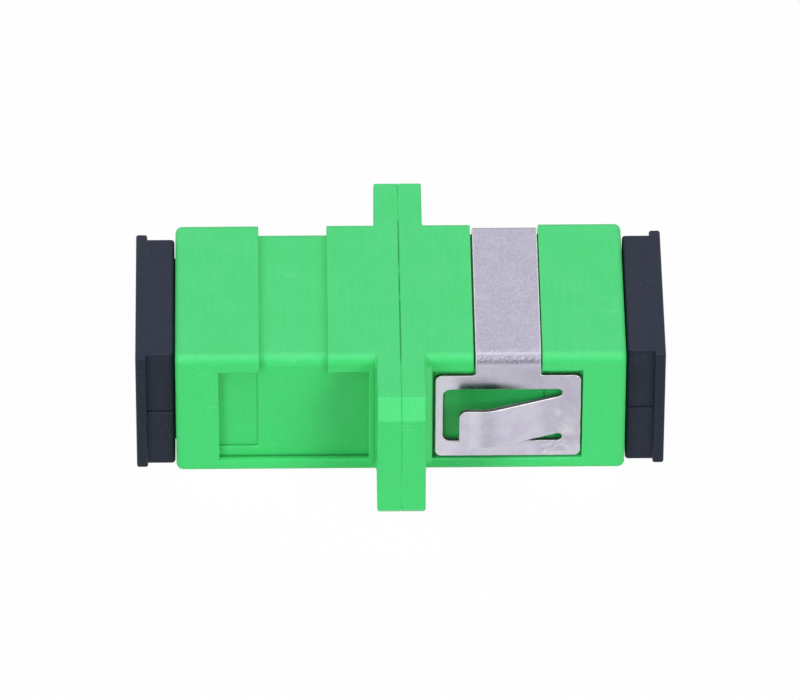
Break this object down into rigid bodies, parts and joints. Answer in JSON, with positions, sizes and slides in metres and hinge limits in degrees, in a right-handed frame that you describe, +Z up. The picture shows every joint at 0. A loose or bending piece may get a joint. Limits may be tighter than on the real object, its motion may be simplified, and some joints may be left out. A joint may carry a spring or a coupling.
{
  "type": "sc fibre adapter",
  "caption": "Full-flange simplex SC fibre adapter with a spring panel clip and dust caps; it joins SC plugs ferrule to ferrule through a panel.",
  "frame": {"origin": "on the optical axis, in the plane where the two housing halves meet, which is the centre of the whole object's box", "axes": "+X along the optical axis towards the half that carries the clip, Y across the flange, +Z up out of the wide face that carries the strap"},
  "size_m": [0.0324, 0.0224, 0.0092],
  "materials": {
    "housing": "light green moulded PBT, satin",
    "latch_holder": "natural moulded PEI, satin",
    "sleeve": "polished white zirconia",
    "clip": "stainless spring sheet, rolled, with bright cut edges",
    "dust_cap": "dark grey moulded polyethylene, satin"
  },
  "bodies": {
    "adapter": {"housing_left": "housing", "housing_right": "housing", "latch_holder_left": "latch_holder", "latch_holder_right": "latch_holder", "alignment_sleeve": "sleeve", "panel_clip": "clip"},
    "left_cap": {"dust_cap_left": "dust_cap"},
    "right_cap": {"dust_cap_right": "dust_cap"}
  },
  "joints": [
    {"name": "left_cap_pull", "type": "slide", "parent": "adapter", "child": "left_cap", "axis": [-1, 0, 0], "range_m": [0, 0.036]},
    {"name": "right_cap_pull", "type": "slide", "parent": "adapter", "child": "right_cap", "axis": [1, 0, 0], "range_m": [0, 0.036]}
  ]
}
